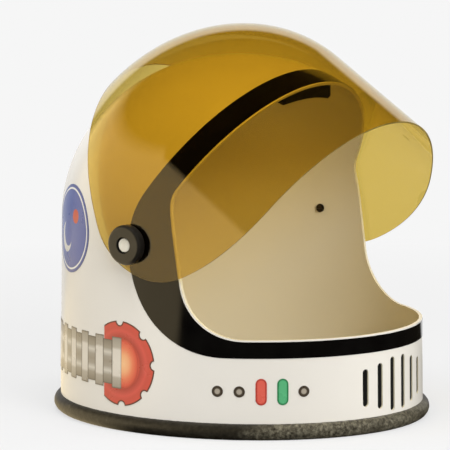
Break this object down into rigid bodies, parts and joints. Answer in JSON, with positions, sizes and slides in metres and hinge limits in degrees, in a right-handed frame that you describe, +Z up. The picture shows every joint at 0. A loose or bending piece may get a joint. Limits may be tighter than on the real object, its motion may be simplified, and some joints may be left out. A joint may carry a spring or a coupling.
{
  "type": "toy astronaut helmet",
  "caption": "Toy space helmet: open-faced white dome shell with a foam rim, vent slots, black face band and a tinted amber visor that swings up on side knobs.",
  "frame": {"origin": "middle of the flat underside of the foam rim, on the surface that the helmet stands on", "axes": "+Z up, -Y the way the wearer faces, +X the wearer's left"},
  "size_m": [0.264, 0.2862, 0.2841],
  "materials": {
    "white_shell": "glossy white injection-moulded ABS",
    "black_film": "glossy black vinyl film",
    "dark_foam": "matte closed-cell foam tube, charcoal with grey flecks",
    "amber_visor": "clear tinted amber polycarbonate",
    "black_foam": "matte open-cell foam",
    "grey_print": "printed vinyl film, grey",
    "red_print": "printed vinyl film, red",
    "blue_print": "printed vinyl film, blue",
    "green_print": "printed vinyl film, green",
    "dark_print": "printed vinyl film, dark ring with a grey centre",
    "black_plastic": "satin black moulded plastic",
    "white_plastic": "satin white moulded plastic",
    "nylon_washer": "natural nylon",
    "black_screw": "black steel"
  },
  "bodies": {
    "helmet": {"shell": "white_shell", "opening_band": "black_film", "base_bead": "dark_foam", "crown_pad": "black_foam", "hose_print": "grey_print", "right_coupling_print": "red_print", "left_coupling_print": "red_print", "round_badge_print": "blue_print", "red_indicator_print": "red_print", "green_indicator_print": "green_print", "ring_dot_prints": "dark_print", "right_pivot_knob": "black_plastic", "right_pivot_stud": "white_plastic", "right_friction_washer": "nylon_washer", "right_saddle_washer": "nylon_washer", "right_pivot_screw": "black_screw", "left_pivot_knob": "black_plastic", "left_pivot_stud": "white_plastic", "left_friction_washer": "nylon_washer", "left_saddle_washer": "nylon_washer", "left_pivot_screw": "black_screw"},
    "visor": {"visor": "amber_visor"}
  },
  "joints": [
    {"name": "visor_hinge", "type": "hinge", "parent": "helmet", "child": "visor", "pos_m": [0, 0.01, 0.1353], "axis": [-1, 0, 0], "range_deg": [-57, 15]}
  ]
}
